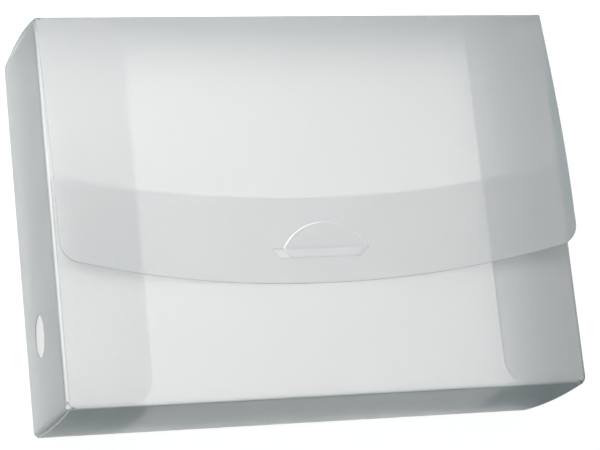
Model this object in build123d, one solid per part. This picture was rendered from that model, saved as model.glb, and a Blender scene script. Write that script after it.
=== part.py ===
from build123d import *
import math
import os

# Magazine file: a translucent polypropylene box for A4 paper, die cut from one sheet and folded up.
# It lies on its back. X runs along its width, Y up the front towards the lid's crease, and Z out of
# the front. The origin is the centre of the back panel's outer face. Sizes are in millimetres.

# The box, over its outer faces
BOX_WIDTH = 330.0
BOX_HEIGHT = 240.0
BOX_DEPTH = 100.0

# The sheet and its creases
SHEET = 0.8
FOLD_RADIUS = 2.0
FOLD_WEB = 0.5
CUT_GAP = 0.5
EDGE_GAP = 0.7

# How far the long narrow panels belly outwards
TOP_BULGE = 3.8
BOTTOM_BULGE = 1.8

# The flap hangs over the front panel's upper edge by this much. Both have edges of the same arc.
FLAP_OVERLAP = 53.5
EDGE_ARC_RADIUS = 760.0
FRONT_CORNER = 3.0

# The tabs folded in from the end panels
FRONT_TAB_WIDTH = 51.0
BOTTOM_TAB_WIDTH = 50.0
TAB_CORNER = 14.0

# The finger hole in the left end panel
FINGER_HOLE_DIAMETER = 26.0
FINGER_HOLE_FROM_BACK = 42.0
FINGER_HOLE_FROM_BOTTOM = 56.0

# The flap that folds down over the front
FLAP_LENGTH = 170.5
FLAP_CORNER = 13.0
FLAP_GAP = 0.35
FLAP_SIDE_SETBACK = 0.5
FLAP_EDGE_LIFT = 14.5
FLAP_MIDDLE_LIFT = 6.0
FLAP_LIFT_POWER = 2.5
FLAP_SECTIONS = 11
FLAP_STATIONS = 13

# The slot across the flap and the half moon tongue that holds it. The tongue sits to the right of the
# slot's middle by its offset.
SLOT_FROM_FLAP_EDGE = 16.5
SLOT_HEIGHT = 5.5
SLOT_TOP_WIDTH = 62.0
SLOT_BOTTOM_WIDTH = 51.0
TONGUE_RADIUS = 30.5
TONGUE_RISE = 15.8
TONGUE_ROOT_WIDTH = 41.0
TONGUE_OFFSET = 3.0
TONGUE_CLEARANCE = 0.45
TONGUE_HINGE_LENGTH = 1.0
TONGUE_HINGE_ABOVE_SLOT = 1.0
CUTOUT_GAP = 0.4
CUTOUT_EXTRA_HEIGHT = 0.6

# Positions that follow from the sizes
half_width = BOX_WIDTH / 2
half_height = BOX_HEIGHT / 2
fold_line_x = half_width - FOLD_RADIUS
fold_line_y = half_height - FOLD_RADIUS
front_inner = BOX_DEPTH - SHEET
tab_fold_z = front_inner - FOLD_RADIUS
tab_fold_y = -half_height + SHEET + FOLD_RADIUS
open_edge_y = half_height - SHEET - EDGE_GAP
flap_outer = BOX_DEPTH + FLAP_GAP + SHEET
flap_fold_z = flap_outer - FOLD_RADIUS
flap_half_width = half_width - FLAP_SIDE_SETBACK
flap_edge_y = half_height - FLAP_LENGTH
front_middle_y = flap_edge_y + FLAP_OVERLAP
slot_bottom_y = flap_edge_y + SLOT_FROM_FLAP_EDGE
slot_top_y = slot_bottom_y + SLOT_HEIGHT
tongue_top_y = slot_top_y + TONGUE_RISE
tongue_hinge_y = slot_bottom_y + TONGUE_HINGE_ABOVE_SLOT
lock_centre_y = tongue_top_y - TONGUE_RADIUS
finger_hole_y = -half_height + FINGER_HOLE_FROM_BOTTOM


def block(x_span, y_span, z_span):
    """A plain plate between two values on each axis."""
    size = [high - low for low, high in (x_span, y_span, z_span)]
    middle = [(high + low) / 2 for low, high in (x_span, y_span, z_span)]
    return Pos(*middle) * Box(*size)


def fold_strip(origin, first_side, along, length):
    """A quarter round strip of creased sheet, centred on its length, that starts at first_side."""
    ring = Circle(FOLD_RADIUS) - Circle(FOLD_RADIUS - FOLD_WEB)
    quarter = ring & Pos(FOLD_RADIUS, FOLD_RADIUS) * Rectangle(2 * FOLD_RADIUS, 2 * FOLD_RADIUS)
    place = Plane(origin=origin, x_dir=first_side, z_dir=along)
    return extrude(place * quarter, amount=length / 2, both=True)


def bellied_panel(outer_y, bulge, low_z, high_z, width):
    """A long narrow panel across the box whose middle stands out by bulge. Its ends are flat."""
    inner_y = outer_y - math.copysign(SHEET, outer_y)
    stand_out = math.copysign(bulge, outer_y)
    middle_z = (low_z + high_z) / 2
    outer = ThreePointArc((outer_y, low_z), (outer_y + stand_out, middle_z), (outer_y, high_z))
    inner = ThreePointArc((inner_y, high_z), (inner_y + stand_out, middle_z), (inner_y, low_z))
    far_end = Line(outer @ 1, inner @ 0)
    near_end = Line(inner @ 1, outer @ 0)
    profile = make_face([outer, far_end, inner, near_end])
    return extrude(Plane.YZ * profile, amount=width / 2, both=True)


def dipped_outline(middle_y, top_y, outline_half_width, corner, corner_side):
    """A sheet outline whose long edge is the shallow arc. corner_side is +1 below the arc, -1 above it."""
    arc_circle = Pos(0, middle_y + EDGE_ARC_RADIUS) * Circle(EDGE_ARC_RADIUS)
    low_y = min(middle_y, top_y) - 1
    high_y = max(middle_y, top_y)
    if corner_side > 0:
        low_y = top_y
        high_y = middle_y + EDGE_ARC_RADIUS / 4
    height = high_y - low_y
    strip = Pos(0, low_y + height / 2) * Rectangle(2 * outline_half_width, height)
    shape = strip - arc_circle if corner_side > 0 else strip & arc_circle
    arc_end_y = middle_y + EDGE_ARC_RADIUS - math.sqrt(EDGE_ARC_RADIUS**2 - outline_half_width**2)
    corners = [v for v in shape.vertices() if abs(v.Y - arc_end_y) < 0.01]
    return fillet(corners, corner)


def flap_lift(x, y):
    """How far the flap stands off the front at a point: it bellies in the middle and lifts at both ends."""
    along = min(max((fold_line_y - y) / (fold_line_y - slot_bottom_y), 0.0), 1.0)
    across = min(abs(x) / half_width, 1.0)
    middle = FLAP_MIDDLE_LIFT * 27 / 4 * along * (1 - along) ** 2
    ends = FLAP_EDGE_LIFT * math.sin(math.pi / 2 * min(along / 0.85, 1.0))
    return middle * (1 - across**2) + ends * across**FLAP_LIFT_POWER


def curved_strip(x, low_y, high_y, base_z):
    """One cut through the flap's sheet at a given x."""
    steps = [low_y + (high_y - low_y) * i / (FLAP_STATIONS - 1) for i in range(FLAP_STATIONS)]
    lower_points = [(y, base_z + flap_lift(x, y)) for y in steps]
    upper_points = [(y, z + SHEET) for y, z in reversed(lower_points)]
    lower = Spline(*lower_points)
    upper = Spline(*upper_points)
    profile = make_face([lower, Line(lower @ 1, upper @ 0), upper, Line(upper @ 1, lower @ 0)])
    return Plane.YZ.offset(x) * profile


def trapezoid(bottom_y, top_y, bottom_width, top_width):
    """A four sided outline across the middle of the front."""
    corners = [
        (-bottom_width / 2, bottom_y),
        (bottom_width / 2, bottom_y),
        (top_width / 2, top_y),
        (-top_width / 2, top_y),
    ]
    return make_face(Polyline(*corners, close=True))


def half_moon(extra, extra_height, root_y):
    """The tongue's outline, or its cut-out when it is grown all round by extra."""
    radius = TONGUE_RADIUS + extra
    centre_y = lock_centre_y + extra_height
    neck_top_y = slot_top_y + extra_height
    neck_half = math.sqrt(radius**2 - (neck_top_y - centre_y) ** 2)
    cap_height = centre_y + radius - neck_top_y
    cap_area = Pos(0, neck_top_y + cap_height / 2) * Rectangle(2 * radius, cap_height)
    cap = Pos(0, centre_y) * Circle(radius) & cap_area
    neck = trapezoid(root_y, neck_top_y, TONGUE_ROOT_WIDTH + 2 * extra, 2 * neck_half)
    return Pos(TONGUE_OFFSET, 0) * (cap + neck)


def upright(outline, low_z, high_z):
    """Extrudes an outline drawn on the front between two heights."""
    return extrude(Pos(0, 0, low_z) * outline, amount=high_z - low_z)


def make_back_panel():
    return block((-fold_line_x, fold_line_x), (-fold_line_y, fold_line_y), (0, SHEET))


def make_front_panel():
    outline = dipped_outline(front_middle_y, -fold_line_y, fold_line_x, FRONT_CORNER, 1)
    panel = upright(outline, front_inner, BOX_DEPTH)
    cutout = half_moon(CUTOUT_GAP, CUTOUT_EXTRA_HEIGHT, tongue_hinge_y - TONGUE_HINGE_LENGTH)
    return panel - upright(cutout, front_inner - 1, BOX_DEPTH + 1)


def make_end_panel(side):
    """side is -1 for the left end, which has the finger hole, and +1 for the right end."""
    x_span = sorted((side * half_width, side * (half_width - SHEET)))
    panel = block(x_span, (tab_fold_y, open_edge_y), (FOLD_RADIUS, tab_fold_z))
    if side < 0:
        drill = Cylinder(FINGER_HOLE_DIAMETER / 2, 6 * SHEET)
        panel -= Pos(side * half_width, finger_hole_y, FINGER_HOLE_FROM_BACK) * Rot(0, 90, 0) * drill
    return panel


def make_front_tab(side):
    x_span = sorted((side * fold_line_x, side * (fold_line_x - FRONT_TAB_WIDTH)))
    tab = block(x_span, (-fold_line_y + CUT_GAP, open_edge_y), (front_inner - SHEET, front_inner))
    free_edges = tab.edges().filter_by(Axis.Z).sort_by(Axis.X, reverse=side < 0)[:2]
    return fillet(free_edges, TAB_CORNER)


def make_bottom_tab(side):
    x_span = sorted((side * fold_line_x, side * (fold_line_x - BOTTOM_TAB_WIDTH)))
    y_span = (-half_height + SHEET, -half_height + 2 * SHEET)
    tab = block(x_span, y_span, (FOLD_RADIUS + CUT_GAP, tab_fold_z - CUT_GAP))
    free_edges = tab.edges().filter_by(Axis.Y).sort_by(Axis.X, reverse=side < 0)[:2]
    return fillet(free_edges, TAB_CORNER)


def make_closing_flap():
    low_y = flap_edge_y - 2
    spread = [2 * i / (FLAP_SECTIONS - 1) - 1 for i in range(FLAP_SECTIONS)]
    base_z = BOX_DEPTH + FLAP_GAP
    sections = [curved_strip(s * (half_width + 2), low_y, fold_line_y, base_z) for s in spread]
    sheet = loft(sections)
    outline = dipped_outline(flap_edge_y, fold_line_y, flap_half_width, FLAP_CORNER, -1)
    high_z = flap_outer + FLAP_EDGE_LIFT + FLAP_MIDDLE_LIFT + 5
    slot = trapezoid(slot_bottom_y, slot_top_y, SLOT_BOTTOM_WIDTH, SLOT_TOP_WIDTH)
    return (sheet & upright(outline, BOX_DEPTH - 5, high_z)) - upright(slot, BOX_DEPTH - 5, high_z)


def make_lock_tongue():
    """It rises from the front panel through the slot and then lies along the flap's outer face."""
    ramp_top_y = slot_top_y - CUT_GAP
    run_end_y = tongue_top_y + 1
    steps = [ramp_top_y + (run_end_y - ramp_top_y) * i / 4 for i in range(5)]
    resting = [(y, flap_outer + TONGUE_CLEARANCE + flap_lift(TONGUE_OFFSET, y)) for y in steps]
    lower_ramp = Line((tongue_hinge_y, front_inner), resting[0])
    lower_run = Spline(*resting)
    upper_run = Spline(*[(y, z + SHEET) for y, z in reversed(resting)])
    tip = Line(lower_run @ 1, upper_run @ 0)
    upper_ramp = Line(upper_run @ 1, (tongue_hinge_y, BOX_DEPTH))
    root = Line(upper_ramp @ 1, lower_ramp @ 0)
    profile = make_face([lower_ramp, lower_run, tip, upper_run, upper_ramp, root])
    strip = extrude(Plane.YZ * profile, amount=TONGUE_OFFSET + TONGUE_RADIUS + 5, both=True)
    outline = half_moon(0, 0, tongue_hinge_y - 1)
    return strip & upright(outline, front_inner - 5, flap_outer + FLAP_MIDDLE_LIFT + 10)


def make_tongue_fold():
    """The thinned strip on which the tongue bends, between its root and the front panel."""
    x_half = TONGUE_ROOT_WIDTH / 2
    y_span = (tongue_hinge_y - TONGUE_HINGE_LENGTH, tongue_hinge_y)
    x_span = (TONGUE_OFFSET - x_half, TONGUE_OFFSET + x_half)
    return block(x_span, y_span, (front_inner, front_inner + FOLD_WEB))


def make_pieces():
    """All pieces by node name."""
    across = (1, 0, 0)
    back_across = (-1, 0, 0)
    down = (0, -1, 0)
    up = (0, 1, 0)
    long_fold = 2 * (fold_line_x - CUT_GAP)
    end_fold_low = tab_fold_y + CUT_GAP
    end_fold_high = fold_line_y - CUT_GAP
    end_fold_middle = (end_fold_low + end_fold_high) / 2
    end_fold = end_fold_high - end_fold_low
    tab_fold = tab_fold_z - FOLD_RADIUS - 2 * CUT_GAP
    tab_fold_middle = (tab_fold_z + FOLD_RADIUS) / 2
    pieces = {
        "back_panel": make_back_panel(),
        "front_panel": make_front_panel(),
        "bottom_panel": bellied_panel(
            -half_height, BOTTOM_BULGE, FOLD_RADIUS, BOX_DEPTH - FOLD_RADIUS, 2 * fold_line_x
        ),
        "top_panel": bellied_panel(half_height, TOP_BULGE, FOLD_RADIUS, flap_fold_z, 2 * flap_half_width),
        "closing_flap": make_closing_flap(),
        "lock_tongue": make_lock_tongue(),
        "tongue_fold": make_tongue_fold(),
        "back_bottom_fold": fold_strip((0, -fold_line_y, FOLD_RADIUS), down, across, long_fold),
        "bottom_front_fold": fold_strip(
            (0, -fold_line_y, BOX_DEPTH - FOLD_RADIUS), down, back_across, long_fold
        ),
        "back_top_fold": fold_strip((0, fold_line_y, FOLD_RADIUS), up, back_across, long_fold),
        "top_flap_fold": fold_strip((0, fold_line_y, flap_fold_z), up, across, 2 * flap_half_width),
    }
    for side, name in ((-1, "left"), (1, "right")):
        outward = (side, 0, 0)
        fold_x = side * fold_line_x
        front_fold_middle = (fold_x, end_fold_middle, tab_fold_z)
        back_fold_middle = (fold_x, end_fold_middle, FOLD_RADIUS)
        bottom_fold_middle = (fold_x, tab_fold_y, tab_fold_middle)
        pieces[f"{name}_end_panel"] = make_end_panel(side)
        pieces[f"{name}_front_tab"] = make_front_tab(side)
        pieces[f"{name}_bottom_tab"] = make_bottom_tab(side)
        pieces[f"back_{name}_fold"] = fold_strip(back_fold_middle, outward, (0, side, 0), end_fold)
        pieces[f"{name}_front_fold"] = fold_strip(front_fold_middle, outward, (0, -side, 0), end_fold)
        pieces[f"{name}_bottom_fold"] = fold_strip(bottom_fold_middle, outward, (0, 0, -side), tab_fold)
    return pieces


os.makedirs("parts", exist_ok=True)
for node, piece in make_pieces().items():
    export_step(piece, f"parts/{node}.step")
    box = piece.bounding_box()
    low = [round(v, 2) for v in box.min]
    high = [round(v, 2) for v in box.max]
    print(node, len(piece.solids()), round(piece.volume, 1), low, high)
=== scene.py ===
"""A magazine file of frosted polypropylene sheet, lying on its back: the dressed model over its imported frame.

The file is one creased sheet folded up, so each piece here is a region of sheet. A piece is drawn flat, as
the loop that is cut out and the loop or spine inside it, and a surface function then bends that drawing to
its place. The sizes in the classes are millimetres and the meshes are metres, in the frame's own axes: X
across the file, Y up its front and Z out of its back.
"""

import logging
import math
from dataclasses import dataclass, replace
from enum import Enum
from typing import Callable

import bmesh
import bpy
import numpy as np
from mathutils import Matrix


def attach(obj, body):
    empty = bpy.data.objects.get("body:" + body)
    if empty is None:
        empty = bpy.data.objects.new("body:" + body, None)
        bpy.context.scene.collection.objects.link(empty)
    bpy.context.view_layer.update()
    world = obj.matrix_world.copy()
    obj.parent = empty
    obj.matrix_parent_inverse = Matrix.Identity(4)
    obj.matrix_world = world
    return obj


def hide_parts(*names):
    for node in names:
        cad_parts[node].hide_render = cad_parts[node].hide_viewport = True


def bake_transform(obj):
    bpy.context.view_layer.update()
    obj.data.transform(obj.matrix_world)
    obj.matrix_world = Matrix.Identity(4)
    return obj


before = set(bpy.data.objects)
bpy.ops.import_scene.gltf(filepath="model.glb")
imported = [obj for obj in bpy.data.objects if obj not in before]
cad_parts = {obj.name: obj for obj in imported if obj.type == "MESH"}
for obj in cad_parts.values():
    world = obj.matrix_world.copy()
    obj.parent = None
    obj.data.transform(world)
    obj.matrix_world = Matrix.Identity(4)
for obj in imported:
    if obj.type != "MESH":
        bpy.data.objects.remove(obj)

LOG = logging.getLogger("magazine_file")
MM = 0.001
WHITE = (1.0, 1.0, 1.0, 1.0)
# A point is on a crease's line within the first, in mm. Two points are one within the second, in metres.
ON_LINE = 0.01
ONE_POINT = 1e-6

Array = np.ndarray
Pair = tuple[float, float]
Triple = tuple[float, float, float]
Lines = tuple[tuple[int, float], ...]
Surface = Callable[[Array, Array, Array], Array]
Piece = bpy.types.Object
Tree = bpy.types.NodeTree
Socket = bpy.types.NodeSocket

# The edge of the sheet, as (distance in from the edge in mm, height in half thicknesses) from the outer face
# to the inner one. A die rolls the outer corner of a cut and leaves the inner one almost square.
CUT_PROFILE = np.array(
    [(0.5, 1.0), (0.36, 1.0), (0.18, 0.88), (0.05, 0.56), (0.0, 0.12)]
    + [(0.0, -0.62), (0.05, -0.88), (0.16, -1.0), (0.5, -1.0)]
)
# The same rows where the sheet goes on in a crease.
FOLD_PROFILE = np.array(
    [(0.5, 1.0), (0.12, 1.0), (0.05, 0.96), (0.01, 0.86), (0.0, 0.5)]
    + [(0.0, -0.62), (0.03, -0.9), (0.12, -1.0), (0.5, -1.0)]
)


class Side(Enum):
    """The two ends of the file."""

    LEFT = -1.0
    RIGHT = 1.0

    @property
    def word(self) -> str:
        """The side's name as the frame's nodes have it."""
        return self.name.lower()


class Grid(Enum):
    """How finely a piece is meshed: points along its two kinds of side, rows inside and points of a turn."""

    CREASE = (80, 16)
    BACK = (60, 44)
    BELLIED = (80, 30)
    END = (56, 28)
    HOLED_END = (56, 28, 12)
    FRONT_TAB = (24, 60)
    BOTTOM_TAB = (24, 40)
    FRONT = (120, 40, 16, 8)
    FLAP = (150, 50, 34, 18)
    TONGUE = (90, 14, 26)
    TONGUE_ROOT = (60, 12)

    def __init__(self, first: int, second: int, rows: int = 10, turn: int = 14) -> None:
        """Keeps the points along the sides as a pair."""
        self.sides, self.rows, self.turn = (first, second), rows, turn


# Drawing and mesh


def straight(start: Pair, end: Pair, count: int) -> Array:
    """A straight run of an outline as (count, 2): start + t (end - start), stopping before the end."""
    share = np.linspace(0.0, 1.0, count, endpoint=False)[:, None]
    return np.array(start) + share * (np.array(end) - np.array(start))


def arc(centre: Pair, radius: float, start: float, end: float, count: int) -> Array:
    """A round run as (count, 2): centre + radius (cos a, sin a), from a start to before an end in degrees."""
    angle = np.radians(np.linspace(start, end, count, endpoint=False))
    return np.array(centre) + radius * np.stack([np.cos(angle), np.sin(angle)], 1)


def inset(loop: Array, distance: float | Array) -> Array:
    """The loop moved to its left, which is inwards on an anticlockwise loop: point + distance * left normal.

    Args:
        loop: Closed loop as (n, 2).
        distance: How far, in mm, for all points or as (n, 1).

    Returns:
        The moved loop.
    """
    forward = np.roll(loop, -1, 0) - loop
    length = np.linalg.norm(forward, axis=1, keepdims=True)
    forward = np.where(length > 1e-9, forward / np.maximum(length, 1e-9), 0.0)
    tangent = forward + np.roll(forward, 1, 0)
    tangent /= np.maximum(np.linalg.norm(tangent, axis=1, keepdims=True), 1e-9)
    return loop + distance * np.stack([-tangent[:, 1], tangent[:, 0]], 1)


@dataclass(frozen=True)
class Cut:
    """One flat cut of sheet: the area between its outer loop and a hole, or a spine where it has no hole.

    Attributes:
        outer: Outer loop, anticlockwise, as (n, 2) in mm.
        inner: The hole's loop, or the spine there and back, matched point by point with the outer one.
        thickness: Gauge of the sheet, in mm.
        rows: Rows of mesh between the two loops.
        holed: Whether the inner loop is a hole.
        creased: Lines, as (0 or 1 for u or v, place in mm), along which the sheet goes on in a crease.
    """

    outer: Array
    inner: Array
    thickness: float = 0.8
    rows: int = 8
    holed: bool = False
    creased: Lines = ()

    def grid(self) -> tuple[Array, Array, Array]:
        """Both faces and the edge as one grid that goes over the outer face, round the edge and back below.

        On the faces a point is (1 - r) inner + r outer. Along the edge it is the loop set in by the profile,
        which is the cut's where the edge is free and the fold's where it is creased.

        Returns:
            Drawn points as (rows, columns, 2), heights off the middle and 1 on cut edges as (rows, columns).
        """
        first, half = CUT_PROFILE[0, 0], self.thickness / 2
        start = inset(self.inner, -first) if self.holed else self.inner
        share = np.linspace(0.0, 1.0, self.rows)[:, None, None]
        face = (1 - share) * start + share * inset(self.outer, first)
        free = np.ones(len(self.outer))
        for axis, place in self.creased:
            free[np.abs(self.outer[:, axis] - place) < ON_LINE] = 0
        rim = np.where(free[:, None] > 0, CUT_PROFILE[1:-1, None], FOLD_PROFILE[1:-1, None])
        parts = [face, np.stack([inset(self.outer, row[:, :1]) for row in rim]), face[::-1]]
        top, plain = np.full((self.rows, len(free)), half), np.zeros((self.rows, len(free)))
        heights = [top, rim[..., 1] * half, -top]
        marks = [plain, np.tile(free, (len(rim), 1)), plain]
        if self.holed:
            back = CUT_PROFILE[-2:0:-1]
            parts.append(np.stack([inset(self.inner, -d) for d in back[:, 0]]))
            heights.append(np.tile(back[:, 1:] * half, (1, len(free))))
            marks.append(np.ones((len(back), len(free))))
        return np.concatenate(parts), np.concatenate(heights), np.concatenate(marks)


def add_object(name: str, data: bpy.types.ID) -> Piece:
    """Adds an object with its mesh, light or camera to the scene."""
    made = bpy.data.objects.new(name, data)
    bpy.context.scene.collection.objects.link(made)
    return made


def sheet_object(name: str, cut: Cut, surface: Surface) -> Piece:
    """A piece of sheet as a mesh: the flat cut's grid, bent by a surface function.

    Each cell of the grid is a quad, the columns close on themselves, and so do the rows where the cut has a
    hole. The faces are turned outwards if six times the enclosed volume, the sum of a . (b x c) over the
    triangles, is negative.

    Args:
        name: Name of the object and mesh.
        cut: The flat drawing.
        surface: Takes drawn u, v and height h in mm and gives points as (..., 3) in mm.

    Returns:
        The linked object, with a point attribute "cut_edge" of 1 on its cut edges.
    """
    plan, height, mark = cut.grid()
    points = surface(plan[..., 0], plan[..., 1], height)
    index = np.arange(plan.shape[0] * plan.shape[1]).reshape(plan.shape[:2])
    below = np.roll(index, -1, 0)
    quads = np.stack([index, below, np.roll(below, -1, 1), np.roll(index, -1, 1)], -1)
    quads = (quads if cut.holed else quads[:-1]).reshape(-1, 4)
    flat = points.reshape(-1, 3)
    a, b, c, d = (flat[quads[:, i]] for i in range(4))
    volume = np.einsum("ij,ij->", a, np.cross(b, c)) + np.einsum("ij,ij->", a, np.cross(c, d))
    if volume < 0:
        quads = quads[:, ::-1]
    mesh = bpy.data.meshes.new(name)
    mesh.from_pydata(flat * MM, [], quads.tolist())
    marks = mesh.attributes.new("cut_edge", "FLOAT", "POINT")
    marks.data.foreach_set("value", mark.astype(np.float32).ravel())
    if not cut.holed:
        work = bmesh.new()
        work.from_mesh(mesh)
        bmesh.ops.remove_doubles(work, verts=work.verts, dist=ONE_POINT)
        work.to_mesh(mesh)
        work.free()
    mesh.polygons.foreach_set("use_smooth", np.ones(len(mesh.polygons), bool))
    mesh.update()
    return add_object(name, mesh)


def oblong(
    low: Pair,
    high: Pair,
    corners: tuple[float, ...],
    grid: Grid,
    creased: Lines = (),
    thickness: float = 0.8,
) -> Cut:
    """A plain rectangle of sheet with rounded or square corners.

    Its spine is the outer loop clamped to what is left when half of the short side is taken off all round.

    Args:
        low: Lowest u and v, in mm.
        high: Highest u and v.
        corners: Radii of the four corners from the lowest one on, anticlockwise. 0 leaves a corner square.
        grid: How finely it is meshed.
        creased: Lines along which the sheet goes on in a crease.
        thickness: Gauge of the sheet.

    Returns:
        The flat cut.
    """
    lowest, highest = np.array(low), np.array(high)
    inwards = np.array([(1, 1), (-1, 1), (-1, -1), (1, -1)])
    places = np.where(inwards > 0, lowest, highest)
    runs = []
    for i in range(4):
        j = (i + 1) % 4
        along = np.array([1, 0]) if i % 2 == 0 else np.array([0, 1])
        if corners[i]:
            centre = places[i] + inwards[i] * corners[i]
            runs.append(arc(tuple(centre), corners[i], 180 + 90 * i, 270 + 90 * i, grid.turn))
        start = places[i] + along * inwards[i] * corners[i]
        end = places[j] + along * inwards[j] * corners[j]
        runs.append(straight(tuple(start), tuple(end), grid.sides[i % 2]))
    outer = np.concatenate(runs)
    margin = (highest - lowest).min() / 2
    spine = np.clip(outer, lowest + margin, highest - margin)
    return Cut(outer, spine, thickness, grid.rows, creased=creased)


def bow(distance: Array, half: float, rise: float) -> Array:
    """Height of an arc over its chord at a distance s from its middle: sqrt(R^2 - s^2) - (R - rise)."""
    radius = (half**2 + rise**2) / (2 * rise)
    return np.sqrt(radius**2 - np.minimum(np.abs(distance), half) ** 2) - (radius - rise)


def on_axis(axis: int, level: float, outward: float = 1.0) -> Surface:
    """A flat surface function at a level on one axis. u and v are the other two axes in their order.

    Args:
        axis: 0, 1 or 2 for X, Y or Z.
        level: Place of the sheet's middle, in mm.
        outward: +1 or -1, the way that the outer face looks.

    Returns:
        The surface function.
    """

    def surface(u: Array, v: Array, h: Array) -> Array:
        """Puts level + outward h on the axis and u, v on the others."""
        parts = [u, v]
        parts.insert(axis, level + outward * h)
        return np.stack(parts, -1)

    return surface


# Finishes


def linear(colour: str) -> tuple[float, float, float, float]:
    """An sRGB hex colour as linear RGBA.

    Args:
        colour: A # and six hex digits.

    Returns:
        Red, green, blue and alpha from 0 to 1.
    """
    parts = (int(colour[i : i + 2], 16) / 255 for i in (1, 3, 5))
    red, green, blue = (c / 12.92 if c <= 0.04045 else ((c + 0.055) / 1.055) ** 2.4 for c in parts)
    return red, green, blue, 1.0


def bare_tree(owner: bpy.types.ID) -> Tree:
    """Gives a material or world an empty node tree."""
    owner.use_nodes = True
    owner.node_tree.nodes.clear()
    return owner.node_tree


def add_node(
    tree: Tree, kind: str, sockets: dict[str | int, object] | None = None, **settings: object
) -> bpy.types.Node:
    """Adds a node with its settings, values and links.

    Args:
        tree: Node tree of a material or world.
        kind: The node's type name after ShaderNode.
        sockets: Input name or number to a value, or to the output socket that feeds it.
        settings: Properties of the node.

    Returns:
        The node.
    """
    node = tree.nodes.new(f"ShaderNode{kind}")
    for key, value in settings.items():
        setattr(node, key, value)
    for key, value in (sockets or {}).items():
        if isinstance(value, Socket):
            tree.links.new(value, node.inputs[key])
        else:
            node.inputs[key].default_value = value
    return node


def step(tree: Tree, operation: str, *inputs: object, vector: bool = False) -> Socket:
    """Adds a step of arithmetic.

    Args:
        tree: Node tree.
        operation: The step's name.
        inputs: Numbers, vectors or sockets.
        vector: Whether it is one on vectors.

    Returns:
        Its result, which is a number for a dot product or a length too.
    """
    kind = "VectorMath" if vector else "Math"
    node = add_node(tree, kind, dict(enumerate(inputs)), operation=operation)
    number = not vector or operation in ("DOT_PRODUCT", "LENGTH")
    return node.outputs["Value" if number else "Vector"]


def ramp(tree: Tree, value: Socket, span: Pair, ends: Pair, smooth: bool = False) -> Socket:
    """Adds a ramp that goes from one number to another over a span of a value, and stays level beyond it.

    Args:
        tree: Node tree.
        value: The value.
        span: Where the ramp starts and ends.
        ends: The numbers there.
        smooth: Whether it is a smoothstep, not a straight line.

    Returns:
        The number.
    """
    sockets = {"Value": value, "From Min": span[0], "From Max": span[1], "To Min": ends[0], "To Max": ends[1]}
    kind = "SMOOTHSTEP" if smooth else "LINEAR"
    return add_node(tree, "MapRange", sockets, interpolation_type=kind).outputs["Result"]


def mix_colour(tree: Tree, share: object, first: object, second: object) -> Socket:
    """Adds a mix of two colours or sockets: (1 - share) first + share second."""
    return add_node(tree, "Mix", {"Factor": share, "A": first, "B": second}, data_type="RGBA").outputs[2]


@dataclass(frozen=True)
class FrostedPolypropylene:
    """Extruded polypropylene sheet with a fine matt grain rolled into it, the stock of soft plastic files.

    To the eye it is a cool grey-white sheet that glows with what is behind it: print pressed against it reads
    clearly and anything a few centimetres away is only a shade. Highlights are wide and weak. Where the die
    has cut it, the milky body shows: a pale line on the lit side and a grey one on the other.

    Attributes:
        name: Name of the material.
        colour: The tint that the sheet gives to light.
        cut_colour: The colour at a cut edge, where the milky body shows. A grey one, as on the plain sheet, is
            painted shade.
        clear: Share of light that goes through a face, the rest is thrown back by the milky body.
        cut_clear: The same share at a cut edge.
        roughness: Mean roughness of the grain.
        unevenness: How far the roughness wanders from its mean.
        grain: Spacing of the rolled grain, in mm. The real one is about 0.15 mm, and this one is as coarse as
            it needs to be to show.
        grain_depth: Height of the grain, in mm.
        ripple: Size of the slow ripples that die cutting leaves, in mm.
        ripple_depth: Height of the ripples, in mm.
        pale: How much lighter than its colour the sheet is at the palest flecks.
        dark: How much darker at the darkest ones.
        fleck: Share of the grain in the flecks, the rest is the ripples'.
        index: Index of refraction.
    """

    name: str
    colour: str
    cut_colour: str
    clear: float
    roughness: float
    cut_clear: float = 0.5
    unevenness: float = 0.06
    grain: float = 1.4
    grain_depth: float = 0.05
    ripple: float = 45.0
    ripple_depth: float = 0.12
    pale: float = 1.03
    dark: float = 0.95
    fleck: float = 0.6
    index: float = 1.49

    def material(self) -> bpy.types.Material:
        """The finish as a material on Object coordinates.

        Returns:
            The material.
        """
        made = bpy.data.materials.new(self.name)
        tree = bare_tree(made)
        place = add_node(tree, "TexCoord").outputs["Object"]
        grain, ripple = (
            add_node(tree, "TexNoise", {"Vector": place, "Scale": 1 / size, "Detail": detail}).outputs["Fac"]
            for size, detail in ((self.grain * MM, 2.0), (self.ripple * MM, 1.0))
        )
        mark = add_node(tree, "Attribute", attribute_name="cut_edge").outputs["Fac"]
        base = linear(self.colour)[:3]
        pale = (*(min(1.0, c * self.pale) for c in base), 1.0)
        dark = (*(c * self.dark for c in base), 1.0)
        fleck = add_node(tree, "Mix", {"Factor": self.fleck, "A": ripple, "B": grain}).outputs[0]
        # Cut edges take the cut colour; on the plain sheet that grey is painted shade.
        tint = mix_colour(tree, mark, mix_colour(tree, fleck, dark, pale), linear(self.cut_colour))
        wander = (self.roughness - self.unevenness, self.roughness + self.unevenness)
        bumps = {}
        for height, depth in ((ripple, self.ripple_depth), (grain, self.grain_depth)):
            sockets = {"Height": height, "Distance": depth * MM, "Strength": 1.0, **bumps}
            bumps = {"Normal": add_node(tree, "Bump", sockets).outputs["Normal"]}
        shader = add_node(
            tree,
            "BsdfPrincipled",
            {
                "Base Color": tint,
                "Roughness": ramp(tree, grain, (0.0, 1.0), wander),
                "IOR": self.index,
                "Transmission Weight": ramp(tree, mark, (0.0, 1.0), (self.clear, self.cut_clear)),
                **bumps,
            },
        )
        add_node(tree, "OutputMaterial", {"Surface": shader.outputs["BSDF"]})
        return made


# Most cut edges of the file lie in the shade of another layer. Their grey cut colour here is painted shade that
# draws them as thin grey lines.
SHEET_FINISH = FrostedPolypropylene("frosted_polypropylene", "#FEFFFF", "#DAE2E2", 0.89, 0.38, cut_clear=0.8)
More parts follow.
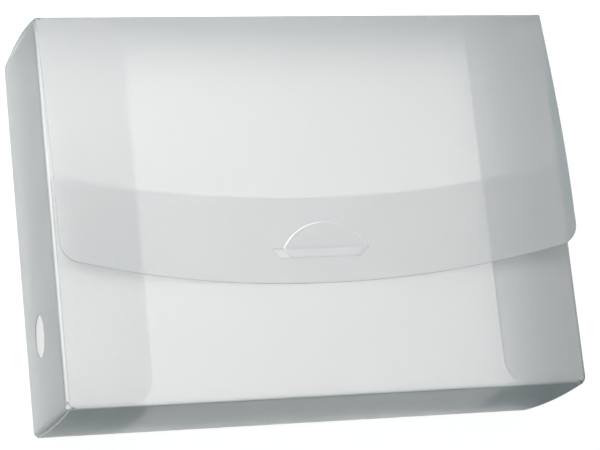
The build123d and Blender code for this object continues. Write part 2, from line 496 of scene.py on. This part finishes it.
# Those of the tongue and the bottom stand free, and their milky body catches the light.
FREE_FINISH = replace(
    SHEET_FINISH, name="frosted_polypropylene_free_edge", clear=0.92, cut_colour="#FFFFFF", cut_clear=0.25
)
# The creasing rule has squeezed the sheet in a crease, which is milkier and duller there.
CREASE_FINISH = FrostedPolypropylene(
    "creased_polypropylene", "#FAFCFC", "#E8F0F0", 0.85, 0.45, ripple_depth=0.05
)


@dataclass(frozen=True)
class Dress:
    """Dresses finished pieces, ties flat pieces and still creases to their bodies and hides the CAD parts of
    their nodes.

    Attributes:
        sheet: Material of the panels, tabs and flap.
        free: Material of the panels whose cut edges stand free.
        crease: Material of the fold strips.
    """

    sheet: bpy.types.Material
    free: bpy.types.Material
    crease: bpy.types.Material

    def panel(self, piece: Piece, node: str, body: str, free: bool = False) -> None:
        """Gives a flat region its finish and its body, and hides the CAD part of the node that it stands for.

        Args:
            piece: The panel, tab, flap or tongue.
            node: Name of the CAD node.
            body: The body that it rides on.
            free: Whether its cut edges stand free.
        """
        piece.data.materials.append(self.free if free else self.sheet)
        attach(piece, body)
        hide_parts(node)
        LOG.info("%s rides on %s", piece.name, body)

    def fold(self, piece: Piece, node: str, body: str) -> None:
        """Gives a still crease its finish and its body, and hides the CAD part of the node that it stands for.

        Args:
            piece: The crease.
            node: Name of the CAD node.
            body: The body that it rides on.
        """
        piece.data.materials.append(self.crease)
        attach(piece, body)
        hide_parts(node)
        LOG.info("%s rides on %s", piece.name, body)

    def hinge(self, piece: Piece, node: str, bodies: tuple[str, str]) -> None:
        """Gives a crease between two bodies its finish, bakes its place into its mesh and hides the CAD part of
        the node that it stands for. The bodies are only logged.

        Args:
            piece: The crease.
            node: Name of the CAD node.
            bodies: Bodies at its start and at its end.
        """
        piece.data.materials.append(self.crease)
        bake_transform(piece)
        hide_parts(node)
        LOG.info("%s bends between %s and %s", piece.name, *bodies)


# Sub-assemblies


@dataclass(frozen=True)
class FileSize:
    """Sizes that every part of the file shares, in mm, as the frame has them.

    Attributes:
        half_width: Half of the width over the end panels.
        fold_x: Where the end panels' creases start.
        fold_y: Where the creases of the bottom and top start.
        depth: Depth over the front panel.
        gauge: Thickness of the sheet.
        crease: Outer radius of a crease.
        web: Thickness of the sheet in a crease, where the rule has squeezed it.
        edge_radius: Radius of the long curved edges.
        air: Gap kept between layers that lie on each other.
        slack: Clearance of a tab or a crease from the piece beside it.
    """

    half_width: float = 165.0
    fold_x: float = 163.0
    fold_y: float = 118.0
    depth: float = 100.0
    gauge: float = 0.8
    crease: float = 2.0
    web: float = 0.5
    edge_radius: float = 760.0
    air: float = 0.1
    slack: float = 0.5


def crease_strip(
    name: str, size: FileSize, centre: Triple, first: Triple, along: Triple, length: float
) -> Piece:
    """A quarter round crease: centre + u along + r (cos a first + sin a second), with a = v / mean radius.

    Args:
        name: Name of the piece.
        size: The shared sizes.
        centre: Centre of the crease's curve at the middle of its length, in mm.
        first: Direction from the centre to where the crease starts.
        along: Direction of the crease.
        length: Its length.

    Returns:
        The piece.
    """
    start, run = np.array(first, float), np.array(along, float)
    second = np.cross(run, start)
    mean = size.crease - size.web / 2
    quarter = mean * math.pi / 2
    low, high = (-length / 2, 0.0), (length / 2, quarter)
    cut = oblong(low, high, (0,) * 4, Grid.CREASE, ((1, 0.0), (1, quarter)), size.web)

    def surface(u: Array, v: Array, h: Array) -> Array:
        """Rolls the drawn strip round the crease's centre line."""
        angle = v / mean
        radius = mean + h
        rolled = (radius * np.cos(angle))[..., None] * start + (radius * np.sin(angle))[..., None] * second
        return np.array(centre) + u[..., None] * run + rolled

    return sheet_object(name, cut, surface)


@dataclass(frozen=True)
class Tray:
    """The back, the bottom and the two ends with their tabs: everything that stands still but the front.

    Attributes:
        size: The shared sizes.
        bottom_belly: How far the bottom panel stands out in its middle.
        end_low: Lowest y of the end panels.
        end_high: Highest y of the end panels.
        end_top: Highest z of the end panels.
        tab_width: Width of the tabs behind the front.
        foot_width: Width of the tabs inside the bottom.
        tab_corner: Radius of their free corners.
        hole_radius: Radius of the finger hole.
        hole_at: Its centre on the left end, y and z.
        easing: Distance from its crease over which a tab in the bottom bends to the bottom's belly.
    """

    size: FileSize
    bottom_belly: float = 1.8
    end_low: float = -117.2
    end_high: float = 118.5
    end_top: float = 97.2
    tab_width: float = 51.0
    foot_width: float = 50.0
    tab_corner: float = 14.0
    hole_radius: float = 13.0
    hole_at: Pair = (-64.0, 42.0)
    easing: float = 20.0

    def back(self) -> Piece:
        """The flat back that the file lies on.

        Returns:
            The piece.
        """
        x, y = self.size.fold_x, self.size.fold_y
        cut = oblong((-x, -y), (x, y), (0,) * 4, Grid.BACK, ((0, -x), (0, x), (1, -y), (1, y)))
        return sheet_object("back_sheet", cut, on_axis(2, self.size.gauge / 2))

    def bottom(self) -> Piece:
        """The bottom, bent along its length into a shallow arc: y = outer plane - bow(z).

        Returns:
            The piece.
        """
        size = self.size
        x, low, high = size.fold_x, size.crease, size.depth - size.crease
        cut = oblong((-x, low), (x, high), (0,) * 4, Grid.BELLIED, ((1, low), (1, high)))

        def surface(u: Array, v: Array, h: Array) -> Array:
            """Stands out by the bow at each height."""
            out = bow(v - (low + high) / 2, (high - low) / 2, self.bottom_belly)
            return np.stack([u, -(size.fold_y + size.crease - size.gauge / 2 + out + h), v], -1)

        return sheet_object("bottom_sheet", cut, surface)

    def end(self, side: Side) -> Piece:
        """One end panel. The left one's finger hole is four quarters of a circle, one for each side.

        Args:
            side: Which end.

        Returns:
            The piece.
        """
        size = self.size
        low, high = (self.end_low, size.crease), (self.end_high, self.end_top)
        level = on_axis(0, side.value * (size.half_width - size.gauge / 2), side.value)
        creased = ((0, low[0]), (1, low[1]), (1, high[1]))
        cut = oblong(low, high, (0,) * 4, Grid.END, creased)
        if side is Side.LEFT:
            quarters = [
                arc(self.hole_at, self.hole_radius, first, first + 90, count)
                for first, count in zip((225, 315, 45, 135), Grid.HOLED_END.sides * 2)
            ]
            cut = Cut(cut.outer, np.concatenate(quarters), size.gauge, Grid.HOLED_END.rows, True, creased)
        return sheet_object(f"{side.word}_end_sheet", cut, level)

    def tab(self, side: Side, width: float, span: Pair, grid: Grid) -> Cut:
        """The flat drawing of a tab, creased along one side and with its two free corners rounded.

        Args:
            side: The end that it belongs to.
            width: How far it reaches.
            span: Where it starts and ends along its crease.
            grid: How finely it is meshed.

        Returns:
            The flat cut, thinner than the sheet by the air that it leaves.
        """
        size, r = self.size, self.tab_corner
        fold = side.value * size.fold_x
        left = min(fold, fold - side.value * width)
        corners = (0, r, r, 0) if side is Side.LEFT else (r, 0, 0, r)
        low, high = (left, span[0]), (left + width, span[1])
        return oblong(low, high, corners, grid, ((0, fold),), size.gauge - size.air)

    def front_tab(self, side: Side) -> Piece:
        """One of the two tabs behind the front.

        Args:
            side: The end that it belongs to.

        Returns:
            The piece.
        """
        size = self.size
        cut = self.tab(side, self.tab_width, (-size.fold_y + size.slack, self.end_high), Grid.FRONT_TAB)
        level = size.depth - 2 * size.gauge + cut.thickness / 2
        return sheet_object(f"{side.word}_front_tab_sheet", cut, on_axis(2, level))

    def foot_tab(self, side: Side) -> Piece:
        """One of the two tabs inside the bottom, straight at its crease and then bent like the bottom.

        Args:
            side: The end that it belongs to.

        Returns:
            The piece.
        """
        size = self.size
        span = (size.crease + size.slack, self.end_top - size.slack)
        cut = self.tab(side, self.foot_width, span, Grid.BOTTOM_TAB)
        middle = size.fold_y + size.crease - 2 * size.gauge + cut.thickness / 2

        def surface(u: Array, v: Array, h: Array) -> Array:
            """Stands out by smoothstep(distance from the crease / easing) times the bottom's bow."""
            share = np.clip((size.fold_x - np.abs(u)) / self.easing, 0, 1)
            belly = bow(v - size.depth / 2, size.depth / 2 - size.crease, self.bottom_belly)
            out = belly * share**2 * (3 - 2 * share)
            return np.stack([u, -(middle + out + h), v], -1)

        return sheet_object(f"{side.word}_bottom_tab_sheet", cut, surface)

    def creases(self) -> dict[str, Piece]:
        """The creases that stand still.

        Returns:
            The pieces by the names of their nodes.
        """
        size = self.size
        x, y, r = size.fold_x, size.fold_y, size.crease
        low, high = self.end_low + size.slack, y - size.slack
        long, side_long, upright = 2 * (x - size.slack), high - low, self.end_top - r - 2 * size.slack
        middle, mid_z = (low + high) / 2, (self.end_top + r) / 2
        runs = {
            "back_bottom": ((0, -y, r), (0, -1, 0), (1, 0, 0), long),
            "bottom_front": ((0, -y, size.depth - r), (0, -1, 0), (-1, 0, 0), long),
        }
        for side in Side:
            s, word = side.value, side.word
            runs[f"back_{word}"] = ((s * x, middle, r), (s, 0, 0), (0, s, 0), side_long)
            runs[f"{word}_front"] = ((s * x, middle, self.end_top), (s, 0, 0), (0, -s, 0), side_long)
            runs[f"{word}_bottom"] = ((s * x, self.end_low, mid_z), (s, 0, 0), (0, 0, -s), upright)
        return {f"{name}_fold": crease_strip(f"{name}_crease", size, *run) for name, run in runs.items()}

    def build(self, dress: Dress) -> None:
        """Builds and dresses the whole tray on the body that stands still.

        Args:
            dress: The finishes.
        """
        dress.panel(self.back(), "back_panel", "box")
        dress.panel(self.bottom(), "bottom_panel", "box", free=True)
        for side in Side:
            dress.panel(self.end(side), f"{side.word}_end_panel", "box")
            dress.panel(self.front_tab(side), f"{side.word}_front_tab", "box")
            dress.panel(self.foot_tab(side), f"{side.word}_bottom_tab", "box")
        for node, strip in self.creases().items():
            dress.fold(strip, node, "box")


@dataclass(frozen=True)
class Lock:
    """The half moon tongue, its cut-out in the front and the slot that it passes.

    Attributes:
        size: The shared sizes.
        radius: Radius of the half moon.
        centre_y: Height of its centre.
        neck_y: Where the round part ends and the neck starts.
        root_y: Where the neck is creased.
        root_half: Half of the neck's width at the crease.
        offset: How far the tongue sits to the right of the slot's middle.
        strip: Length of the crease at the root.
        gap: Gap all round the tongue in its cut-out.
        raised: How much higher the cut-out is than the tongue.
        slot_low: Lowest y of the slot.
        slot_low_half: Half of its width there.
        slot_high: Highest y of the slot.
        slot_high_half: Half of its width there.
        clearance: Air between tongue and flap.
        landing_y: Where the tongue, on its way up, lies down on the flap.
    """

    size: FileSize
    radius: float = 30.5
    centre_y: float = -43.2
    neck_y: float = -28.5
    root_y: float = -33.0
    root_half: float = 20.5
    offset: float = 3.0
    strip: float = 1.0
    gap: float = 0.4
    raised: float = 0.6
    slot_low: float = -34.0
    slot_low_half: float = 25.5
    slot_high: float = -28.5
    slot_high_half: float = 31.0
    clearance: float = 0.45
    landing_y: float = -29.0

    def half_moon(self, grid: Grid, grow: float, lift: float, root: float) -> Array:
        """The tongue's outline, or its cut-out's: foot, right neck, round top and left neck, anticlockwise.

        Args:
            grid: Points along the foot and the top, and along each neck.
            grow: How much larger it is all round.
            lift: How much higher.
            root: The y of its foot.

        Returns:
            The loop.
        """
        radius, centre, neck = self.radius + grow, self.centre_y + lift, self.neck_y + lift
        lean = math.degrees(math.asin((neck - centre) / radius))
        half = radius * math.cos(math.radians(lean))
        low = self.root_y - self.strip
        share = (root - low) / (neck - low)
        foot = (self.root_half + grow) * (1 - share) + half * share
        middle = self.offset
        many, few = grid.sides
        return np.concatenate(
            [
                straight((middle - foot, root), (middle + foot, root), many),
                straight((middle + foot, root), (middle + half, neck), few),
                arc((middle, centre), radius, lean, 180 - lean, many),
                straight((middle - half, neck), (middle - foot, root), few),
            ]
        )

    def slot(self) -> Array:
        """The slot in the flap, a low trapezoid.

        Returns:
            The loop, anticlockwise.
        """
        low, high, a, b = self.slot_low, self.slot_high, self.slot_low_half, self.slot_high_half
        corners = [(-a, low), (a, low), (b, high), (-b, high)]
        ends = corners[1:] + corners[:1]
        return np.concatenate([straight(*run) for run in zip(corners, ends, Grid.FLAP.sides * 2)])

    def tongue(self, flap_height: Callable[[Array, Array], Array]) -> Piece:
        """The tongue: out of the front through the slot on a smooth step, then along the flap's outer face.

        Args:
            flap_height: Height of the flap's outer face at x, y.

        Returns:
            The piece.
        """
        size = self.size
        outline = self.half_moon(Grid.TONGUE, 0.0, 0.0, self.root_y)
        top = self.centre_y + self.radius
        margin = (top - self.root_y) / 2
        inner = self.root_half - margin
        middle = self.offset
        spine = np.clip(outline, (middle - inner, self.root_y + margin), (middle + inner, top - margin))
        low = size.depth - size.gauge / 2

        def surface(u: Array, v: Array, h: Array) -> Array:
            """z = front + smoothstep((y - root) / (landing - root)) (flap face + clearance - front)."""
            rise = np.clip((v - self.root_y) / (self.landing_y - self.root_y), 0, 1)
            face = flap_height(0 * u + middle, np.maximum(v, self.landing_y))
            rest = face + self.clearance + size.gauge / 2
            return np.stack([u, v, low + rise**2 * (3 - 2 * rise) * (rest - low) + h], -1)

        cut = Cut(outline, spine, size.gauge, Grid.TONGUE.rows, creased=((1, self.root_y),))
        return sheet_object("tongue_sheet", cut, surface)

    def root(self) -> Piece:
        """The thinned strip on which the tongue bends.

        Returns:
            The piece.
        """
        size, root = self.size, self.root_y
        left, right = self.offset - self.root_half, self.offset + self.root_half
        foot = root - self.strip
        creased = ((1, foot), (1, root))
        cut = oblong((left, foot), (right, root), (0,) * 4, Grid.TONGUE_ROOT, creased, size.web)
        return sheet_object("tongue_crease", cut, on_axis(2, size.depth - size.gauge + size.web / 2))


@dataclass(frozen=True)
class Front:
    """The front panel with its dipped edge and the tongue that is cut out of it.

    Attributes:
        size: The shared sizes.
        lock: The tongue and its cut-out.
        dip_y: Lowest point of the upper edge.
        corner: Radius of its upper corners.
    """

    size: FileSize
    lock: Lock
    dip_y: float = 3.0
    corner: float = 3.0

    def panel(self) -> Piece:
        """The front panel, between its outline and the cut-out.

        Returns:
            The piece.
        """
        size, r = self.size, self.corner
        x, big = size.fold_x, size.edge_radius
        centre_y = self.dip_y + big
        turn_x = x - r
        turn_y = centre_y - math.sqrt((big + r) ** 2 - turn_x**2)
        end = math.degrees(math.atan2(centre_y - turn_y, -turn_x))
        low = math.degrees(math.atan2(turn_y - centre_y, turn_x))
        (long, short), few = Grid.FRONT.sides, Grid.FRONT.turn
        outer = np.concatenate(
            [
                straight((-x, -size.fold_y), (x, -size.fold_y), long),
                straight((x, -size.fold_y), (x, turn_y), short),
                arc((turn_x, turn_y), r, 0, end, few),
                arc((0, centre_y), big, low, -180 - low, long - 2 * few),
                arc((-turn_x, turn_y), r, 180 - end, 180, few),
                straight((-x, turn_y), (-x, -size.fold_y), short),
            ]
        )
        lock = self.lock
        hole = lock.half_moon(Grid.FRONT, lock.gap, lock.raised, lock.root_y - lock.strip)
        cut = Cut(outer, hole, size.gauge, Grid.FRONT.rows, True, ((1, -size.fold_y),))
        return sheet_object("front_sheet", cut, on_axis(2, size.depth - size.gauge / 2))

    def build(self, dress: Dress) -> None:
        """Builds and dresses the front."""
        dress.panel(self.panel(), "front_panel", "box")


@dataclass(frozen=True)
class Lid:
    """The top panel, the closing flap and the two creases that they turn on.

    Attributes:
        size: The shared sizes.
        lock: The tongue and the slot.
        half: Half of the width of the top and the flap.
        top_belly: How far the top panel stands out in its middle.
        fold_z: Where the crease between top and flap starts.
        edge_y: Lowest point of the flap's edge.
        corner: Radius of its corners.
        gap: Air between front and flap at the crease.
        ends_lift: How far the flap's ends stand off the front.
        middle_lift: How far its middle bellies.
        power: How sharply the lift grows towards the ends.
        crest: Where the ends reach their full lift, from 0 at the crease to 1 at the slot.
        settle: How much of a hinge strip, at each end of its curve, follows the panel there.
    """

    size: FileSize
    lock: Lock
    half: float = 164.5
    top_belly: float = 3.75
    fold_z: float = 99.15
    edge_y: float = -50.5
    corner: float = 13.0
    gap: float = 0.35
    ends_lift: float = 14.1
    middle_lift: float = 6.0
    power: float = 2.5
    crest: float = 0.85
    settle: float = 0.25

    def lift(self, x: Array, y: Array) -> Array:
        """How far the flap stands off the front.

        With t from 0 at the crease to 1 at the slot and c = |x| / half width, it is a belly of height
        27/4 t (1 - t)^2 in the middle, fading by 1 - c^2, and ends that rise by sin(90 degrees t / crest),
        growing with c^power.

        Args:
            x: Across the front, in mm.
            y: Up the front.

        Returns:
            The height above the flat.
        """
        t = np.clip((self.size.fold_y - y) / (self.size.fold_y - self.lock.slot_low), 0, 1)
        c = np.minimum(np.abs(x) / self.size.half_width, 1)
        belly = self.middle_lift * 27 / 4 * t * (1 - t) ** 2
        ends = self.ends_lift * np.sin(np.pi / 2 * np.minimum(t / self.crest, 1))
        return belly * (1 - c**2) + ends * c**self.power

    def outer_face(self, x: Array, y: Array) -> Array:
        """Height of the flap's outer face."""
        return self.size.depth + self.gap + self.size.gauge + self.lift(x, y)

    def flap(self) -> Piece:
        """The flap, between its outline and the slot, bent by the lift.

        Returns:
            The piece.
        """
        size, r = self.size, self.corner
        x, y, big = self.half, size.fold_y, size.edge_radius
        centre_y = self.edge_y + big
        turn_x = x - r
        turn_y = centre_y - math.sqrt((big - r) ** 2 - turn_x**2)
        lean = math.degrees(math.atan2(turn_y - centre_y, turn_x))
        (long, short), few = Grid.FLAP.sides, Grid.FLAP.turn
        outer = np.concatenate(
            [
                arc((-turn_x, turn_y), r, -180, -180 - lean, few),
                arc((0, centre_y), big, -180 - lean, lean, long - 2 * few),
                arc((turn_x, turn_y), r, lean, 0, few),
                straight((x, turn_y), (x, y), short),
                straight((x, y), (-x, y), long),
                straight((-x, y), (-x, turn_y), short),
            ]
        )

        def surface(u: Array, v: Array, h: Array) -> Array:
            """The sheet's middle plus h, straight up."""
            return np.stack([u, v, self.outer_face(u, v) - size.gauge / 2 + h], -1)

        cut = Cut(outer, self.lock.slot(), size.gauge, Grid.FLAP.rows, True, ((1, y),))
        return sheet_object("flap_sheet", cut, surface)

    def top(self) -> Piece:
        """The top panel, bent along its length into a shallow arc: y = outer plane + bow(z).

        Returns:
            The piece.
        """
        size = self.size
        low, high = size.crease, self.fold_z
        cut = oblong((-self.half, low), (self.half, high), (0,) * 4, Grid.BELLIED, ((1, low), (1, high)))

        def surface(u: Array, v: Array, h: Array) -> Array:
            """Stands out by the bow at each height."""
            out = bow(v - (low + high) / 2, (high - low) / 2, self.top_belly)
            return np.stack([u, size.fold_y + size.crease - size.gauge / 2 + out + h, v], -1)

        return sheet_object("top_sheet", cut, surface)

    def build(self, dress: Dress) -> None:
        """Builds and dresses the lid and the tongue that holds it.

        Args:
            dress: The finishes.
        """
        size, lock = self.size, self.lock
        y, z, r = size.fold_y, self.fold_z, size.crease
        dress.panel(self.top(), "top_panel", "top")
        dress.panel(self.flap(), "closing_flap", "flap")
        dress.panel(lock.tongue(self.outer_face), "lock_tongue", "tongue", free=True)
        long = 2 * (size.fold_x - size.slack)
        back = crease_strip("back_top_crease", size, (0, y, r), (0, 1, 0), (-1, 0, 0), long)
        dress.hinge(back, "back_top_fold", ("box", "top"))
        front = crease_strip("top_flap_crease", size, (0, y, z), (0, 1, 0), (1, 0, 0), 2 * self.half)
        dress.hinge(front, "top_flap_fold", ("top", "flap"))
        dress.hinge(lock.root(), "tongue_fold", ("box", "tongue"))


# Studio


@dataclass(frozen=True)
class Studio:
    """A pale floor, soft light from the upper left and the camera.

    Attributes:
        floor_colour: Paint of the floor as the object's light meets it.
        floor_half: Half of the floor's side, in metres.
        floor_drop: How far it lies under the file's back.
        eye_glow: What the floor adds for the camera, so that it renders white where the lamp reaches it.
        pool_glow: What it adds for clear sheet and gloss under the file, a painted pool of light.
        ring_glow: What it adds for them round the file, lower: a painted shadow of the file.
        open_glow: What the open floor and the room add for them, the pale surround that the eye sees too.
        pool_at: Middle of the pool, in metres.
        pool_half: Half of the pool's width and height.
        pool_fade: Distance past its edge over which it fades.
        ring_span: Distances past its edge at which the ring ends and at which the floor is open.
        bright_way: Direction of the brightest part of the dome.
        dome_start: Cosine from that direction at which the dome is dimmest.
        dome_low: Strength of the dome there.
        dome_high: Strength of the dome at its brightest.
        dim_colour: Colour of the room and the floor where they are dim; on the floor it tints the painted
            shadow. They are white where they are bright.
        clean_rate: How fast that colour goes as they brighten: at this times their strength, from 0 to 1.
        lamp_at: Place of the soft box, in metres.
        lamp_aim: Point that it looks at.
        lamp_size: Its side.
        lamp_watts: Its power.
        clear_bounces: Light bounces through clear sheet, enough for the layers and both faces of each.
        matt_bounces: Bounces off matt surfaces.
        gloss_bounces: Bounces off gloss.
        lens: Focal length in mm on the default 36 mm sensor.
        camera_at: Place of the camera, in mm.
        camera_axes: Its right, up and backward directions, one a row.
    """

    floor_colour: str = "#7C8080"
    floor_half: float = 20.0
    floor_drop: float = 0.0004
    eye_glow: float = 0.92
    pool_glow: float = 0.91
    ring_glow: float = 0.2
    open_glow: float = 0.62
    pool_at: Triple = (-0.004, 0.012, 0.0)
    pool_half: Triple = (0.154, 0.123, 1.0)
    pool_fade: float = 0.045
    ring_span: Pair = (0.06, 0.4)
    bright_way: Triple = (-0.5, 0.5, 0.7)
    dome_start: float = -0.1
    dome_low: float = 0.1
    dome_high: float = 1.2
    dim_colour: str = "#5A9AA0"
    clean_rate: float = 1.15
    lamp_at: Triple = (-0.3, 0.1, 0.5)
    lamp_aim: Triple = (0.0, 0.0, 0.05)
    lamp_size: float = 0.3
    lamp_watts: float = 2.0
    clear_bounces: int = 24
    matt_bounces: int = 6
    gloss_bounces: int = 8
    lens: float = 151.515
    camera_at: Triple = (-482.098, -355.495, 1523.078)
    camera_axes: tuple[Triple, ...] = (
        (0.9514212086, -0.1030362712, 0.2901399845),
        (0.0308618701, 0.9695181615, 0.2430667866),
        (-0.3063406797, -0.2223017349, 0.9256010623),
    )

    def tinted(self, tree: Tree, level: Socket) -> Socket:
        """The colour of the surround's light: dim colour to white, by clean rate times its level."""
        clean = step(tree, "MULTIPLY", level, self.clean_rate)
        return mix_colour(tree, clean, linear(self.dim_colour), WHITE)

    def world(self) -> None:
        """A dome that is bright towards the upper left and dim low down.

        The eye sees it white, and gloss and clear sheet see it pale low down too.
        """
        made = bpy.data.worlds.new("studio_surround")
        tree = bare_tree(made)
        way = add_node(tree, "TexCoord").outputs["Generated"]
        towards = step(tree, "DOT_PRODUCT", way, self.bright_way, vector=True)
        dome = ramp(tree, towards, (self.dome_start, 1.0), (self.dome_low, self.dome_high), smooth=True)
        path = add_node(tree, "LightPath").outputs
        through = step(tree, "MAXIMUM", path["Is Glossy Ray"], path["Is Transmission Ray"])
        room = step(tree, "MAXIMUM", dome, step(tree, "MULTIPLY", through, self.open_glow))
        levels = {"Factor": path["Is Camera Ray"], "A": room, "B": 1.0}
        strength = add_node(tree, "Mix", levels).outputs[0]
        shade = add_node(tree, "Background", {"Color": self.tinted(tree, strength), "Strength": strength})
        add_node(tree, "OutputWorld", {"Surface": shade.outputs["Background"]})
        bpy.context.scene.world = made

    def floor(self) -> None:
        """The floor, just under the file's back.

        The eye sees it white where no shadow falls. Gloss and clear sheet see it glow: a painted pool of light
        under the file, as on a light table, a dim ring round it that is painted shadow of the file, and pale
        beyond.
        """
        mesh = bpy.data.meshes.new("studio_floor")
        half, z = self.floor_half, -self.floor_drop
        corners = [(-half, -half, z), (half, -half, z), (half, half, z), (-half, half, z)]
        mesh.from_pydata(corners, [], [(0, 1, 2, 3)])
        paint = bpy.data.materials.new("studio_floor_paint")
        tree = bare_tree(paint)
        path = add_node(tree, "LightPath").outputs
        place = add_node(tree, "TexCoord").outputs["Object"]
        off = step(tree, "SUBTRACT", place, self.pool_at, vector=True)
        past = step(tree, "SUBTRACT", step(tree, "ABSOLUTE", off, vector=True), self.pool_half, vector=True)
        outside = step(tree, "MAXIMUM", past, (0.0, 0.0, 0.0), vector=True)
        far = step(tree, "LENGTH", outside, vector=True)
        # Painted light and shade: a glowing pool under the file that fades to a dim ring, the file's painted
        # shadow.
        pool = ramp(tree, far, (0.0, self.pool_fade), (self.pool_glow, self.ring_glow), smooth=True)
        wide = ramp(tree, far, self.ring_span, (0.0, self.open_glow), smooth=True)
        level = step(tree, "MAXIMUM", pool, wide)
        through = step(tree, "MAXIMUM", path["Is Glossy Ray"], path["Is Transmission Ray"])
        clear = step(tree, "MULTIPLY", through, level)
        eye = step(tree, "MULTIPLY", path["Is Camera Ray"], self.eye_glow)
        strength = step(tree, "MAXIMUM", clear, eye)
        seen = step(tree, "MAXIMUM", level, path["Is Camera Ray"])
        matt = add_node(tree, "BsdfDiffuse", {"Color": linear(self.floor_colour)})
        glow = add_node(tree, "Emission", {"Color": self.tinted(tree, seen), "Strength": strength})
        both = add_node(tree, "AddShader", {0: matt.outputs[0], 1: glow.outputs[0]})
        add_node(tree, "OutputMaterial", {"Surface": both.outputs[0]})
        mesh.materials.append(paint)
        floor = add_object("studio_floor", mesh)

    def lamp(self) -> None:
        """The square soft box that looks at the file."""
        data = bpy.data.lights.new("soft_box", "AREA")
        data.shape, data.size, data.energy = "SQUARE", self.lamp_size, self.lamp_watts
        lamp = add_object("soft_box", data)
        away = np.array(self.lamp_at) - np.array(self.lamp_aim)
        away /= np.linalg.norm(away)
        up = [0, 1, 0.01]
        side = np.cross(up, away)
        side /= np.linalg.norm(side)
        turn = Matrix([*zip(side, np.cross(away, side), away)]).to_4x4()
        lamp.matrix_world = Matrix.Translation(self.lamp_at) @ turn
        lamp.visible_camera = False

    def camera(self) -> None:
        """The camera, from the seven corners of the file that the photograph shows."""
        data = bpy.data.cameras.new("camera")
        data.lens = self.lens
        data.clip_end = 5 * self.floor_half
        camera = add_object("camera", data)
        turn = Matrix(self.camera_axes).transposed().to_4x4()
        camera.matrix_world = Matrix.Translation([c * MM for c in self.camera_at]) @ turn
        bpy.context.scene.camera = camera

    def build(self) -> None:
        """Sets the whole studio up."""
        scene = bpy.context.scene
        scene.view_settings.view_transform = "Standard"
        cycles = scene.cycles
        cycles.max_bounces = cycles.transmission_bounces = self.clear_bounces
        cycles.diffuse_bounces = self.matt_bounces
        cycles.glossy_bounces = self.gloss_bounces
        self.world()
        self.floor()
        self.lamp()
        self.camera()


def main() -> None:
    """Builds the file's parts in order, then the studio."""
    logging.basicConfig(level=logging.INFO, format="%(message)s")
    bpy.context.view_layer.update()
    size = FileSize()
    lock = Lock(size)
    dress = Dress(SHEET_FINISH.material(), FREE_FINISH.material(), CREASE_FINISH.material())
    Tray(size).build(dress)
    Front(size, lock).build(dress)
    Lid(size, lock).build(dress)
    Studio().build()


if __name__ == "__main__":
    main()
